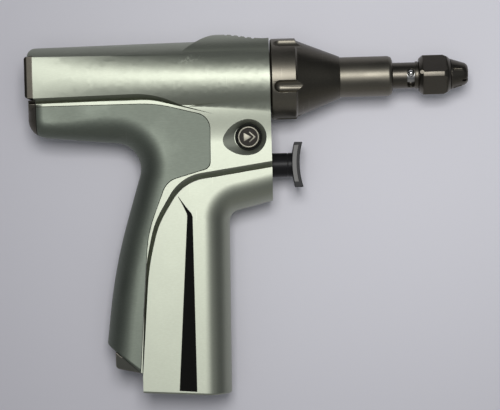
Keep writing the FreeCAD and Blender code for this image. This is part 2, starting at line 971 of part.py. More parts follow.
def nose_tube():
    """Straight tube ahead of the cone that the sleeve runs into."""
    front = cone_length + nose_tube_length
    body = turned([
        (cone_length, 0),
        (cone_length, nose_tube_radius),
        (front - tube_edge, nose_tube_radius),
        (front - tube_edge * 0.3, nose_tube_radius - tube_edge * 0.3),
        (front, nose_tube_radius - tube_edge),
        (front, 0),
    ])
    body = body.cut(rod(tube_bore_radius, front_bush_end_x, front + 1))
    return body.cut(rod(bush_outer + seat_gap, cone_length - 1, front_bush_end_x))


def motor_can():
    """Motor case with end plates that hold the bearings."""
    can = rod(bore_radius - seat_gap, motor_rear_x, motor_front_x)
    can = can.cut(rod(can_bore, motor_rear_x + motor_bearing_length, motor_front_x - motor_bearing_length))
    return can.cut(rod(motor_bearing_radius + seat_gap, motor_rear_x - 1, motor_front_x + 1))


def motor_windings():
    """Wound stator inside the case."""
    outer = can_bore - seat_gap
    end = motor_bearing_length + winding_gap
    return tube(outer, outer - winding_wall, motor_rear_x + end, motor_front_x - end)


def motor_bearing(x):
    """Rotor bearing in one end plate."""
    return tube(motor_bearing_radius, rotor_shaft_radius + running_gap, x, x + motor_bearing_length)


def rotor_magnet():
    """Magnet core on the rotor shaft."""
    outer = can_bore - seat_gap - winding_wall - air_gap
    end = motor_bearing_length + magnet_end_gap
    return tube(outer, rotor_shaft_radius, motor_rear_x + end, motor_front_x - end)


def gear_wire(teeth, addendum, dedendum, thinning, x):
    """Closed gear outline across the drive axis, with involute-like flanks."""
    pitch_radius = gear_module * teeth / 2
    half = math.pi / (2 * teeth) - thinning / (2 * pitch_radius)
    levels = [(pitch_radius - dedendum, 1.55), (pitch_radius, 1.0), (pitch_radius + addendum, 0.5)]
    points = []
    for i in range(teeth):
        middle = 2 * math.pi * i / teeth
        for radius, share in levels:
            points.append((radius, middle - half * share))
        for radius, share in reversed(levels):
            points.append((radius, middle + half * share))
    corners = [V(x, r * math.cos(a), r * math.sin(a)) for r, a in points]
    return Part.makePolygon(corners + [corners[0]])


def outer_gear(teeth):
    """Solid spur gear on the drive axis."""
    face = Part.Face(gear_wire(teeth, gear_module, gear_module * 1.2, tooth_thinning, gear_rear_x))
    return face.extrude(V(gear_length, 0, 0))


def rotor_shaft():
    """Rotor shaft with the sun gear cut on its front end."""
    shaft = rod(rotor_shaft_radius, motor_rear_x - 1, gear_rear_x + planet_pin_gap)
    return shaft.fuse(outer_gear(sun_teeth))


def ring_gear():
    """Fixed ring with inner teeth, seated in the bore."""
    rear = gear_rear_x - ring_overhang
    front = gear_front_x + ring_overhang
    hole = Part.Face(gear_wire(ring_teeth, gear_module * 1.2, gear_module * 0.9, -tooth_thinning, rear))
    hole = hole.extrude(V(front - rear, 0, 0))
    phase = 180.0 / ring_teeth if planet_teeth % 2 == 0 else 0.0
    return rod(bore_radius - seat_gap, rear, front).cut(spun(hole, phase))


def planet_centre(index):
    """Centre of one planet gear."""
    angle = 2 * math.pi * index / planet_count
    return V(0, planet_reach * math.cos(angle), planet_reach * math.sin(angle))


def planet(index):
    """Planet gear, turned so that its teeth meet the sun and the ring."""
    gear = outer_gear(planet_teeth)
    gear = gear.cut(rod(planet_pin_radius + running_gap, gear_rear_x - 1, gear_front_x + 1))
    around = 360.0 * index / planet_count
    gear = spun(gear, 180.0 / planet_teeth + around * (1 + sun_teeth / planet_teeth))
    gear.translate(planet_centre(index))
    return gear


def carrier():
    """Planet carrier with its pins, on the rear of the cam shaft."""
    disc = rod(planet_reach + planet_pin_radius + carrier_rim, carrier_rear_x, carrier_front_x)
    for i in range(planet_count):
        pin = rod(planet_pin_radius, gear_rear_x + planet_pin_gap, carrier_rear_x)
        pin.translate(planet_centre(i))
        disc = disc.fuse(pin)
    return disc


def cam_drum():
    """Barrel cam with its tilted groove and the shaft in the drive bearing."""
    drum = rod(cam_radius, cam_rear_x, cam_front_x)
    drum = drum.fuse(rod(drive_shaft_radius, carrier_front_x, cam_rear_x))
    groove = rod(cam_radius * 2, -cam_groove_width / 2, cam_groove_width / 2)
    groove.rotate(V(0, 0, 0), Z_AXIS, math.degrees(math.atan(cam_throw / cam_radius)))
    groove.translate(V(cam_middle_x, 0, 0))
    return drum.cut(groove.cut(rod(cam_radius - cam_groove_depth, cam_rear_x, cam_front_x)))


def drive_bearing():
    """Bearing that carries the cam shaft in the bore."""
    rear = bearing_front_x - drive_bearing_length
    return tube(bore_radius - seat_gap, drive_shaft_radius + running_gap, rear, bearing_front_x)


def plunger():
    """Plunger cup around the cam and the rod that carries the collet."""
    inner = cam_radius + plunger_cup_gap
    outer = inner + plunger_cup_wall
    cup = tube(outer, inner, plunger_floor_x - plunger_cup_length, plunger_floor_x)
    floor = rod(outer, plunger_floor_x, plunger_front_x)
    body = cup.fuse([floor, rod(plunger_radius, plunger_floor_x, tip_shank_x)])
    body = body.cut(Part.makeCylinder(follower_radius + seat_gap, outer + 1, V(cam_middle_x, 0, 0), Y_AXIS))
    start = V(detent_x, 0, plunger_radius - detent_sink)
    pocket = Part.makeCylinder(detent_radius + seat_gap, plunger_radius, start, Z_AXIS)
    return body.cut(spun(pocket, detent_turn))


def cam_follower():
    """Roller pin in the plunger cup that reaches for the cam groove."""
    start = cam_radius + follower_gap
    end = cam_radius + plunger_cup_gap + plunger_cup_wall - follower_inset
    return Part.makeCylinder(follower_radius, end - start, V(cam_middle_x, start, 0), Y_AXIS)


def plunger_bush(x, length):
    """Plain bearing of the plunger rod in the nose."""
    return tube(bush_outer, bush_inner, x, x + length)


def rod_seal():
    """Wiper ring on the plunger rod, ahead of the front bush."""
    return tube(tube_bore_radius - seat_gap, bush_inner, front_bush_end_x, front_bush_end_x + seal_length)


def collet_sleeve():
    """Slotted sleeve behind the knob."""
    ring_front = knob_rear_x - sleeve_ring_gap
    body = tube(sleeve_radius, bush_inner, knob_rear_x - sleeve_length - sleeve_engage, knob_rear_x)
    body = body.fuse(tube(sleeve_ring_radius, bush_inner, ring_front - sleeve_ring_width, ring_front))
    return body.cut(arc_slot())


def arc_slot():
    """Round-ended slot part of the way around the sleeve, on the right flank."""
    rear = detent_x - slot_width / 2
    arc = Part.makeCylinder(2 * sleeve_radius, slot_width, V(rear, 0, 0), X_AXIS, slot_to - slot_from)
    heart = arc.CenterOfMass
    lean = math.degrees(math.atan2(-heart.y, heart.z))
    arc = spun(arc, (slot_from + slot_to) / 2 - lean)
    end = Part.makeCylinder(slot_width / 2, 2 * sleeve_radius, V(detent_x, 0, 0), Z_AXIS)
    return arc.fuse([spun(end, slot_from), spun(end, slot_to)])


def collet_knob():
    """Turned knob with four milled flats and a cross pin hole."""
    body = turned([
        (knob_rear_x, 0),
        (knob_rear_x, knob_radius - knob_rear_drop),
        (knob_rear_x + knob_rear_edge, knob_radius),
        (knob_front_x - knob_front_edge, knob_radius),
        (knob_front_x - knob_front_edge * 0.4, knob_radius - knob_front_drop * 0.42),
        (knob_front_x, knob_radius - knob_front_drop),
        (knob_front_x, 0),
    ])
    waste = box(knob_rear_x + knob_flat_end, knob_front_x - knob_flat_end,
                -knob_radius, knob_radius, knob_flat, 2 * knob_radius)
    for i in range(knob_flat_count):
        body = body.cut(spun(waste, (i + 0.5) * 360.0 / knob_flat_count))
    start = V(knob_rear_x + knob_pin_x, 0, knob_radius - knob_pin_depth)
    body = body.cut(spun(Part.makeCylinder(knob_pin_radius, knob_radius, start, Z_AXIS), detent_turn))
    return body.cut(rod(bush_inner, knob_rear_x - 1, knob_front_x + 1))


def collet_tip():
    """Tapered chuck tip with the blade socket, screwed to the plunger rod."""
    rear = knob_front_x + tip_gap
    body = turned([
        (tip_shank_x, 0),
        (tip_shank_x, plunger_radius),
        (rear, plunger_radius),
        (rear, tip_rear_radius),
        (nose_reach - tip_edge, tip_front_radius),
        (nose_reach - tip_edge * 0.35, tip_front_radius - tip_edge * 0.5),
        (nose_reach, tip_front_radius - tip_edge),
        (nose_reach, 0),
    ])
    body = body.cut(rod(socket_radius, nose_reach - socket_length, nose_reach + 1))
    start = knob_front_x + grip_notch_start
    half = grip_notch_width / 2
    floor = tip_rear_radius - grip_notch_depth
    notch = box(start, start + grip_notch_length, -half, half, floor, 2 * tip_rear_radius)
    for i in range(grip_notch_count):
        body = body.cut(spun(notch, grip_notch_turn + i * 360.0 / grip_notch_count))
    half = blade_slot_width / 2
    slot = box(nose_reach - blade_slot_depth, nose_reach + 1, -half, half, -tip_rear_radius, tip_rear_radius)
    return body.cut(spun(slot, blade_slot_turn))


def detent_pin():
    """Round-headed pin on the plunger that shows in the sleeve's slot."""
    foot = plunger_radius - detent_sink
    height = sleeve_radius + detent_height - detent_radius
    body = Part.makeCylinder(detent_radius, height - foot, V(detent_x, 0, foot), Z_AXIS)
    body = body.fuse(Part.makeSphere(detent_radius, V(detent_x, 0, height)))
    return spun(body, detent_turn)


def trigger_bush():
    """Guide sleeve of the trigger stem in the front face."""
    body = rod(trigger_bush_radius, -trigger_bush_length, 0, trigger_y)
    return body.cut(rod(stem_radius + running_gap, -trigger_bush_length - 1, 1, trigger_y))


def trigger_stem():
    """Round trigger stem with a ring groove near the pad."""
    groove = rod(stem_radius + 1, stem_groove_x, stem_groove_x + stem_groove_width, trigger_y)
    core = rod(stem_radius - stem_groove_depth, stem_rear_x, stem_front_x, trigger_y)
    return rod(stem_radius, stem_rear_x, stem_front_x, trigger_y).cut(groove.cut(core))


def pad_plate(back, front, below, above, half_width):
    """Curved plate between two depths behind the finger hollow of the trigger."""
    high = trigger_y + above
    low = trigger_y - below
    outer = Part.makeCylinder(pad_hollow + back, 2 * beyond, V(pad_arc_x, trigger_y, -beyond), Z_AXIS)
    inner = Part.makeCylinder(pad_hollow + front, 2 * beyond, V(pad_arc_x, trigger_y, -beyond), Z_AXIS)
    block = box(pad_back_x - 1, pad_arc_x - pad_hollow / 2, low, high, -half_width, half_width)
    return block.common(outer).cut(inner)


def inlay_plate(grow):
    """Plate that holds the two side inlays of the pad, grown by a clearance."""
    back = pad_thickness - inlay_back_rim + grow
    front = pad_thickness - inlay_back_rim - inlay_width - grow
    below = pad_half_height - inlay_foot_rim + grow
    above = pad_half_height - inlay_top_rim + grow
    return pad_plate(back, front, below, above, pad_half_width)


def trigger_pad():
    """Finger pad seated on the stem, with a recess for the inlay in each side."""
    pad = pad_plate(pad_thickness, 0, pad_half_height, pad_half_height, pad_half_width)
    pad = pad.makeFillet(pad_edge_round, pad.Edges)
    core = pad_half_width - inlay_depth
    recess = inlay_plate(seat_gap).cut(box(-beyond, beyond, -beyond, beyond, -core, core))
    return pad.cut(recess).cut(rod(stem_radius, stem_rear_x, stem_front_x, trigger_y))


def pad_inlay(side):
    """Inlay in one side of the pad, +1 on the right flank."""
    core = pad_half_width - inlay_depth
    inlay = inlay_plate(0.0).common(box(-beyond, beyond, -beyond, beyond, core, beyond))
    return inlay if side > 0 else inlay.mirror(V(0, 0, 0), Z_AXIS)


def mode_bolt():
    """Cross bolt between the two buttons."""
    length = 2 * (button_face - button_length)
    return Part.makeCylinder(bolt_radius, length, V(button_x, button_y, -length / 2), Z_AXIS)


def mode_button(side):
    """Recessed button on one end of the cross bolt, +1 on the right flank."""
    foot = V(button_x, button_y, button_face - button_length)
    body = Part.makeCylinder(button_radius, button_length, foot, Z_AXIS)

    def rim(middle, edge):
        return abs(middle.z - button_face) < 1e-6

    body = body.makeChamfer(button_edge, edges_where(body, rim))
    floor = V(button_x, button_y, button_face - button_recess_depth)
    body = body.cut(Part.makeCylinder(button_recess_radius, 1, floor, Z_AXIS))
    return body if side > 0 else body.mirror(V(0, 0, 0), Z_AXIS)


def controller_board():
    """Circuit board in the chassis above the battery bay."""
    middle = (board_bay_rear_x + bay_front_x) / 2
    top = board_bay_roof - board_drop
    across = board_width / 2
    half = board_thickness / 2
    return box(middle - across, middle + across, top - board_length, top, -half, half)


def contact_x(index):
    """Place along X of the middle of one battery contact."""
    return bay_front_x - contact_inset - index * contact_pitch


def battery_contacts():
    """Contact block at the roof of the battery bay, slotted for its blades."""
    front = bay_front_x - seat_gap
    foot = bay_roof - contact_block_height
    side = bay_half_width - seat_gap
    block = box(front - contact_block_length, front, foot, bay_roof, -side, side)
    half = contact_thickness / 2 + contact_slot_gap
    width = contact_width / 2 + contact_slot_gap
    for i in range(contact_count):
        x = contact_x(i)
        block = block.cut(box(x - half, x + half, foot - 1, foot + contact_slot_depth, -width, width))
    return block


def contact_blade(index):
    """Spring blade in one slot of the contact block."""
    x = contact_x(index)
    half = contact_thickness / 2
    width = contact_width / 2
    foot = bay_roof - contact_block_height
    return box(x - half, x + half, foot + contact_tip_gap, foot + contact_slot_depth, -width, width)


def main():
    os.makedirs("parts", exist_ok=True)
    form = envelope()
    write("main_housing", main_housing(form))
    write("rear_shell", rear_shell(form))
    write("front_grip", front_grip(form))
    write("handle_chassis", handle_chassis())
    write("battery_receiver", battery_receiver())
    write("rear_cap_upper", rear_cap_upper())
    write("rear_cap_lower", rear_cap_lower(form))
    write("nose_cone", nose_cone())
    write("nose_tube", nose_tube())
    write("motor_can", motor_can())
    write("motor_windings", motor_windings())
    write("motor_bearing_rear", motor_bearing(motor_rear_x))
    write("motor_bearing_front", motor_bearing(motor_front_x - motor_bearing_length))
    write("rotor_magnet", rotor_magnet())
    write("rotor_shaft", rotor_shaft())
    write("ring_gear", ring_gear())
    for i in range(planet_count):
        write("planet_" + str(i + 1), planet(i))
    write("carrier", carrier())
    write("cam_drum", cam_drum())
    write("drive_bearing", drive_bearing())
    write("plunger", plunger())
    write("cam_follower", cam_follower())
    write("plunger_bush_rear", plunger_bush(rear_bush_x, rear_bush_length))
    write("plunger_bush_front", plunger_bush(front_bush_x, front_bush_length))
    write("rod_seal", rod_seal())
    write("collet_sleeve", collet_sleeve())
    write("collet_knob", collet_knob())
    write("collet_tip", collet_tip())
    write("detent_pin", detent_pin())
    write("trigger_bush", trigger_bush())
    write("trigger_stem", trigger_stem())
    write("trigger_pad", trigger_pad())
    write("pad_inlay_right", pad_inlay(1))
    write("pad_inlay_left", pad_inlay(-1))
    write("mode_bolt", mode_bolt())
    write("mode_button_right", mode_button(1))
    write("mode_button_left", mode_button(-1))
    write("controller_board", controller_board())
    write("battery_contacts", battery_contacts())
    for i in range(contact_count):
        write("contact_blade_" + str(i + 1), contact_blade(i))


main()
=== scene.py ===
import math

import bpy
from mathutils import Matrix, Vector


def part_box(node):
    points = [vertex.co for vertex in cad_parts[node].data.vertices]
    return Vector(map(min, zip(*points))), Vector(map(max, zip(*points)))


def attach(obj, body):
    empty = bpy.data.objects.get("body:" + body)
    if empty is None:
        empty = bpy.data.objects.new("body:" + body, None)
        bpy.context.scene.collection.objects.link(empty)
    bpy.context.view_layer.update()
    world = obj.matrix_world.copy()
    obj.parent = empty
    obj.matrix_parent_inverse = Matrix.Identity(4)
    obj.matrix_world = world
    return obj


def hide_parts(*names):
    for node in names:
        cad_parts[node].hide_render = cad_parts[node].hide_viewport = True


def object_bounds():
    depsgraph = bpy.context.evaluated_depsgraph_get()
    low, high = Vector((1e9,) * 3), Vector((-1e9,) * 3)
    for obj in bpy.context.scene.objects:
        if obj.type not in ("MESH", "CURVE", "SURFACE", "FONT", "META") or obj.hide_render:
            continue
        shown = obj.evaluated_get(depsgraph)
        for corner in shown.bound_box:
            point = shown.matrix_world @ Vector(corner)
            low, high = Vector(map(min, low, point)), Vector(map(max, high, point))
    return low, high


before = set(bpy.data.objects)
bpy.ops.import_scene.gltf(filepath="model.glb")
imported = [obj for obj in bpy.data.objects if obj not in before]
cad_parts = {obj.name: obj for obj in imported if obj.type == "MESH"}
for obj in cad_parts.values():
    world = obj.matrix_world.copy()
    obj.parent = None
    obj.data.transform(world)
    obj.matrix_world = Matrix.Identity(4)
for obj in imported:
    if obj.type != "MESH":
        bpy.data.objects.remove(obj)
cad_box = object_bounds()

# The saw lies on its left flank on a pale table, seen from straight above at the
# angle of a hand-held camera. A place on the saw is given in millimetres from the
# front face of its housing, which lies behind the row's origin by the nose's reach.
mm = 0.001
nose_reach = -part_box("main_housing")[1][0]
field_width = 250 * mm
camera_distance = 1.2
camera_roll = -1.65
view_x = -11.55 * mm
view_y = -62.5 * mm


def at(x, y, z):
    """Point in the frame for a place on the saw in millimetres."""
    return Vector((x * mm - nose_reach, y * mm, z * mm))


def clear_selection():
    """Leave the next operator nothing of the frame to act on."""
    bpy.ops.object.select_all(action="DESELECT")


camera_data = bpy.data.cameras.new("camera")
camera_data.sensor_width = 36
camera_data.sensor_fit = "HORIZONTAL"
camera_data.lens = camera_data.sensor_width * camera_distance / field_width
camera_data.clip_end = 20
camera = bpy.data.objects.new("camera", camera_data)
camera.location = (view_x - nose_reach, view_y, camera_distance)
camera.rotation_euler = (0, 0, math.radians(camera_roll))
bpy.context.scene.collection.objects.link(camera)
bpy.context.scene.camera = camera
bpy.context.scene.view_settings.view_transform = "Standard"

# Table top: a plain painted board just under the lowest point of the saw. Its colour
# holds a painted pool of light, lighter at the upper right, and painted shade that is a
# little cooler and darker towards the other corners.
table_gap = 0.1 * mm
table_size = 6.0
table_painted_light = (0.90, 0.89, 0.945, 1)
table_painted_shade = (0.55, 0.54, 0.58, 1)
painted_light_centre = (0.085, 0.075)
painted_light_reach = 0.36
clear_selection()
bpy.ops.mesh.primitive_plane_add(size=table_size, location=(-nose_reach, view_y, cad_box[0][2] - table_gap))
table = bpy.context.object
table.name = "table"

table_paint_and_light_pool = bpy.data.materials.new("table_paint_and_light_pool")
table_paint_and_light_pool.use_nodes = True
nodes = table_paint_and_light_pool.node_tree.nodes
links = table_paint_and_light_pool.node_tree.links
paint = nodes["Principled BSDF"]
paint.inputs["Roughness"].default_value = 0.8
paint.inputs["Specular IOR Level"].default_value = 0.2
place = nodes.new("ShaderNodeTexCoord")
centre = nodes.new("ShaderNodeMapping")
centre.vector_type = "TEXTURE"
centre.inputs["Location"].default_value = (painted_light_centre[0], painted_light_centre[1], 0)
centre.inputs["Scale"].default_value = (painted_light_reach, painted_light_reach, painted_light_reach)
# Spherical fall-off of the painted pool of light around its centre.
light_pool_falloff = nodes.new("ShaderNodeTexGradient")
light_pool_falloff.gradient_type = "SPHERICAL"
light_pool_ramp = nodes.new("ShaderNodeValToRGB")
light_pool_ramp.color_ramp.interpolation = "EASE"
light_pool_ramp.color_ramp.elements[0].color = table_painted_shade
light_pool_ramp.color_ramp.elements[1].color = table_painted_light
light_pool_ramp.color_ramp.elements[1].position = 0.9
links.new(place.outputs["Object"], centre.inputs["Vector"])
links.new(centre.outputs["Vector"], light_pool_falloff.inputs["Vector"])
links.new(light_pool_falloff.outputs["Fac"], light_pool_ramp.inputs["Fac"])
links.new(light_pool_ramp.outputs["Color"], paint.inputs["Base Color"])
table.data.materials.append(table_paint_and_light_pool)

# Light: a soft lamp above the upper side of the saw, a wide weak ceiling around it,
# and a dim room that is brighter overhead and at the lower side than elsewhere.
lamp_at = (-0.10, 0.22, 1.4)
lamp_side = 0.42
lamp_power = 8.4
ceiling_at = (-0.10, 0.05, 1.5)
ceiling_side = 1.2
ceiling_power = 3.2
room_top = (0.15, 0.16, 0.175, 1)
room_horizon = (0.045, 0.048, 0.052, 1)
room_near = (0.34, 0.34, 0.33, 1)
room_seen = (0.50, 0.51, 0.57, 1)
near_band = (-0.2, -0.9)
overhead_band = (0.1, 0.9)


def soft_panel(name, place_at, side, power):
    """Square area lamp that faces the middle of the saw."""
    lamp_data = bpy.data.lights.new(name, "AREA")
    lamp_data.shape = "RECTANGLE"
    lamp_data.size = side
    lamp_data.size_y = side
    lamp_data.energy = power
    lamp = bpy.data.objects.new(name, lamp_data)
    lamp.location = place_at
    aim = Vector((view_x - nose_reach, view_y, 0)) - Vector(place_at)
    lamp.rotation_euler = aim.to_track_quat("-Z", "Y").to_euler()
    lamp.visible_camera = False
    bpy.context.scene.collection.objects.link(lamp)


def band(nodes, links, value, low, high):
    """Smooth mask that rises from 0 to 1 between two levels of a value."""
    node = nodes.new("ShaderNodeMapRange")
    node.interpolation_type = "SMOOTHSTEP"
    node.inputs["From Min"].default_value = low
    node.inputs["From Max"].default_value = high
    links.new(value, node.inputs["Value"])
    return node.outputs["Result"]


def blend(nodes, links, mask, first, second):
    """Colour that goes from the first to the second, sockets or constants, by a mask."""
    node = nodes.new("ShaderNodeMix")
    node.data_type = "RGBA"
    links.new(mask, node.inputs[0])
    for socket, value in zip(node.inputs[6:8], (first, second)):
        if isinstance(value, tuple):
            socket.default_value = value
        else:
            links.new(value, socket)
    return node.outputs[2]


soft_panel("lamp_panel", lamp_at, lamp_side, lamp_power)
soft_panel("ceiling_panel", ceiling_at, ceiling_side, ceiling_power)

world = bpy.data.worlds.new("room")
bpy.context.scene.world = world
world.use_nodes = True
nodes = world.node_tree.nodes
links = world.node_tree.links
nodes.clear()
direction = nodes.new("ShaderNodeTexCoord")
parts = nodes.new("ShaderNodeSeparateXYZ")
room = nodes.new("ShaderNodeBackground")
seen = nodes.new("ShaderNodeBackground")
seen.inputs["Color"].default_value = room_seen
path = nodes.new("ShaderNodeLightPath")
mix = nodes.new("ShaderNodeMixShader")
output = nodes.new("ShaderNodeOutputWorld")
links.new(direction.outputs["Generated"], parts.inputs["Vector"])
near = band(nodes, links, parts.outputs["Y"], *near_band)
overhead = band(nodes, links, parts.outputs["Z"], *overhead_band)
sides = blend(nodes, links, near, room_horizon, room_near)
around = blend(nodes, links, overhead, sides, room_top)
links.new(around, room.inputs["Color"])
links.new(path.outputs["Is Camera Ray"], mix.inputs["Fac"])
links.new(room.outputs["Background"], mix.inputs[1])
links.new(seen.outputs["Background"], mix.inputs[2])
links.new(mix.outputs["Shader"], output.inputs["Surface"])

# Main housing: cast aluminium, bead blasted to a satin silver with a green cast. It has
# smudges, hairline scratches, a scuff beside the thumb rest and lighter broken edges,
# whose lighter colour is partly wear and partly painted highlight, and a slow bump on
# the flank widens the look of the hollow web under the barrel.
silver = (0.39, 0.412, 0.337, 1)
silver_deep = (0.347, 0.366, 0.30, 1)
silver_edge_wear_and_highlight = (0.52, 0.55, 0.47, 1)
weld_distance = 0.002
flat_angle = 0.1
smooth_angle = 28
crisp_angle = 14
button_x = -11.3
button_y = -28.9
dish_centre = at(button_x, button_y, 0)
dish_reach = 15
scuff_place = ((-39.5, 10.4, 17), 12, (9, 2.6, 6))
flank_hollow = (-31, -11.5, 1.9)


def pick(piece, indices):
    """Select only these vertices of a piece, in object mode."""
    for kind in (piece.data.polygons, piece.data.edges, piece.data.vertices):
        for part in kind:
            part.select = False
    indices = set(indices)
    for edge in piece.data.edges:
        edge.select = len(indices) > 1 and indices.issuperset(edge.vertices)
    for index in indices:
        piece.data.vertices[index].select = True


def skin(node, body, coat, edge_wear_and_highlight=None, edge=0.2, crisp=None):
    """Merged copy of a CAD node with broken edges, which stands for the node.

    Where crisp is true of a place, the edges there stay hard at a lower angle.
    """
    clear_selection()
    piece = bpy.data.objects.new(node + "_skin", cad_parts[node].data.copy())
    bpy.context.scene.collection.objects.link(piece)
    piece.data.materials.clear()
    piece.data.materials.append(coat)
    bpy.context.view_layer.objects.active = piece
    piece.select_set(True)
    bpy.ops.mesh.customdata_custom_splitnormals_clear()
    bpy.ops.object.mode_set(mode="EDIT")
    bpy.ops.mesh.select_all(action="SELECT")
    bpy.ops.mesh.remove_doubles(threshold=weld_distance * mm)
    bpy.ops.mesh.dissolve_limited(angle_limit=math.radians(flat_angle))
    bpy.ops.object.mode_set(mode="OBJECT")
    broken = piece.modifiers.new("broken_edges", "BEVEL")
    broken.width = edge * mm
    broken.segments = 2
    broken.limit_method = "ANGLE"
    broken.angle_limit = math.radians(smooth_angle)
    # Broken edges take a lighter edge material: partly wear, partly painted highlight.
    if edge_wear_and_highlight:
        piece.data.materials.append(edge_wear_and_highlight)
        broken.material = 1
    bpy.ops.object.modifier_apply(modifier=broken.name)
    bpy.ops.object.shade_smooth_by_angle(angle=math.radians(smooth_angle))
    if crisp:
        pick(piece, [vertex.index for vertex in piece.data.vertices if crisp(vertex.co)])
        bpy.ops.object.mode_set(mode="EDIT")
        bpy.ops.mesh.hide(unselected=True)
        bpy.ops.mesh.select_all(action="DESELECT")
        bpy.ops.mesh.edges_select_sharp(sharpness=math.radians(crisp_angle))
        bpy.ops.mesh.mark_sharp()
        bpy.ops.mesh.reveal(select=False)
        bpy.ops.object.mode_set(mode="OBJECT")
    flat = piece.modifiers.new("flat_faces", "WEIGHTED_NORMAL")
    flat.keep_sharp = True
    bpy.ops.object.modifier_apply(modifier=flat.name)
    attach(piece, body)
    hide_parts(node)
    return piece


def node_group(name, inputs, outputs):
    """Empty shader node group with named float inputs and named float outputs."""
    group = bpy.data.node_groups.new(name, "ShaderNodeTree")
    for label, value in inputs.items():
        socket = group.interface.new_socket(name=label, in_out="INPUT", socket_type="NodeSocketFloat")
        socket.default_value = value
    for label in outputs:
        group.interface.new_socket(name=label, in_out="OUTPUT", socket_type="NodeSocketFloat")
    start = group.nodes.new("NodeGroupInput")
    end = group.nodes.new("NodeGroupOutput")
    return group, start, end


def maths(nodes, links, operation, first, second):
    """Math node fed by sockets or plain numbers; gives its output socket."""
    node = nodes.new("ShaderNodeMath")
    node.operation = operation
    for socket, value in zip(node.inputs, (first, second)):
        if isinstance(value, (int, float)):
            socket.default_value = value
        else:
            links.new(value, socket)
    return node.outputs["Value"]


def noise(nodes, links, vector, scale, detail=3.0):
    """Noise over a vector; the scale is a socket or a plain number."""
    node = nodes.new("ShaderNodeTexNoise")
    node.inputs["Detail"].default_value = detail
    links.new(vector, node.inputs["Vector"])
    if isinstance(scale, (int, float)):
        node.inputs["Scale"].default_value = scale
    else:
        links.new(scale, node.inputs["Scale"])
    return node.outputs["Fac"]


def turned_place(nodes, links, place, degrees, scale):
    """Object coordinates turned in the plane of the flank and stretched."""
    node = nodes.new("ShaderNodeMapping")
    node.inputs["Rotation"].default_value = (0, 0, math.radians(degrees))
    node.inputs["Scale"].default_value = scale
    links.new(place.outputs["Object"], node.inputs["Vector"])
    return node.outputs["Vector"]


# Blast grain: the fine pitted texture of a bead-blasted surface, over the faint lines
# of the brushing before it, with slow clouding.
speckle_share = 0.8
speckle_stretch = (0.3, 1, 1)
speckle_band = (0.35, 0.7)
cloud_band = (0.3, 0.7)
blast_grain, start, end = node_group(
    "blast_grain",
    {"Grain per metre": 2600.0, "Cloud per metre": 18.0},
    ("Height", "Speckle", "Cloud"),
)
nodes = blast_grain.nodes
links = blast_grain.links
place = nodes.new("ShaderNodeTexCoord")
pits = noise(nodes, links, place.outputs["Object"], start.outputs["Grain per metre"])
coarse_scale = maths(nodes, links, "MULTIPLY", start.outputs["Grain per metre"], speckle_share)
brushed = turned_place(nodes, links, place, 0, speckle_stretch)
coarse = noise(nodes, links, brushed, coarse_scale, detail=2.0)
links.new(pits, end.inputs["Height"])
links.new(band(nodes, links, coarse, *speckle_band), end.inputs["Speckle"])
cloud = noise(nodes, links, place.outputs["Object"], start.outputs["Cloud per metre"], detail=4.0)
links.new(band(nodes, links, cloud, *cloud_band), end.inputs["Cloud"])

# Handling marks: hairline scratches in two directions where the saw is put down on
# its side, and soft smudges of skin oil.
patches_per_metre = 30.0
patch_band = (0.52, 0.66)
steep_turn = 24
steep_stretch = (45, 2100, 45)
steep_band = (0.71, 0.76)
shallow_turn = -58
shallow_stretch = (2300, 60, 60)
shallow_band = (0.72, 0.77)
smudges_per_metre = 55.0
smudge_band = (0.50, 0.72)
handling_marks, start, end = node_group(
    "handling_marks",
    {"Scratches": 1.0, "Smudges": 1.0},
    ("Scratch", "Smudge"),
)
nodes = handling_marks.nodes
links = handling_marks.links
place = nodes.new("ShaderNodeTexCoord")
spots = noise(nodes, links, place.outputs["Object"], patches_per_metre, detail=2.0)
patches = band(nodes, links, spots, *patch_band)
steep = turned_place(nodes, links, place, steep_turn, steep_stretch)
shallow = turned_place(nodes, links, place, shallow_turn, shallow_stretch)
steep_lines = band(nodes, links, noise(nodes, links, steep, 1.0, detail=1.0), *steep_band)
shallow_lines = band(nodes, links, noise(nodes, links, shallow, 1.0, detail=1.0), *shallow_band)
lines = maths(nodes, links, "MAXIMUM", steep_lines, shallow_lines)
placed = maths(nodes, links, "MULTIPLY", lines, patches)
links.new(maths(nodes, links, "MULTIPLY", placed, start.outputs["Scratches"]), end.inputs["Scratch"])
oil = noise(nodes, links, place.outputs["Object"], smudges_per_metre, detail=5.0)
smears = band(nodes, links, oil, *smudge_band)
links.new(maths(nodes, links, "MULTIPLY", smears, start.outputs["Smudges"]), end.inputs["Smudge"])

# Lathe rings: the faint feed marks of a turned surface, ring on ring along the axis.
lathe_rings, start, end = node_group(
    "lathe_rings",
    {"Rings per metre": 3000.0},
    ("Height",),
)
nodes = lathe_rings.nodes
links = lathe_rings.links
place = nodes.new("ShaderNodeTexCoord")
along = nodes.new("ShaderNodeSeparateXYZ")
links.new(place.outputs["Object"], along.inputs["Vector"])
rings = nodes.new("ShaderNodeTexNoise")
rings.noise_dimensions = "1D"
rings.inputs["Detail"].default_value = 3.0
links.new(along.outputs["X"], rings.inputs["W"])
links.new(start.outputs["Rings per metre"], rings.inputs["Scale"])
links.new(rings.outputs["Fac"], end.inputs["Height"])

# Finish: every metal, lacquer and plastic of the saw is made by one function from
# the three groups above, with its own colours, roughness and share of each mark.
mottle_share = 0.4
cloud_share = 0.5
bare_gain = 1.6
bare_lift = 0.03
rubs_per_metre = 700.0
rub_band = (0.48, 0.62)
bump_strength = 0.3


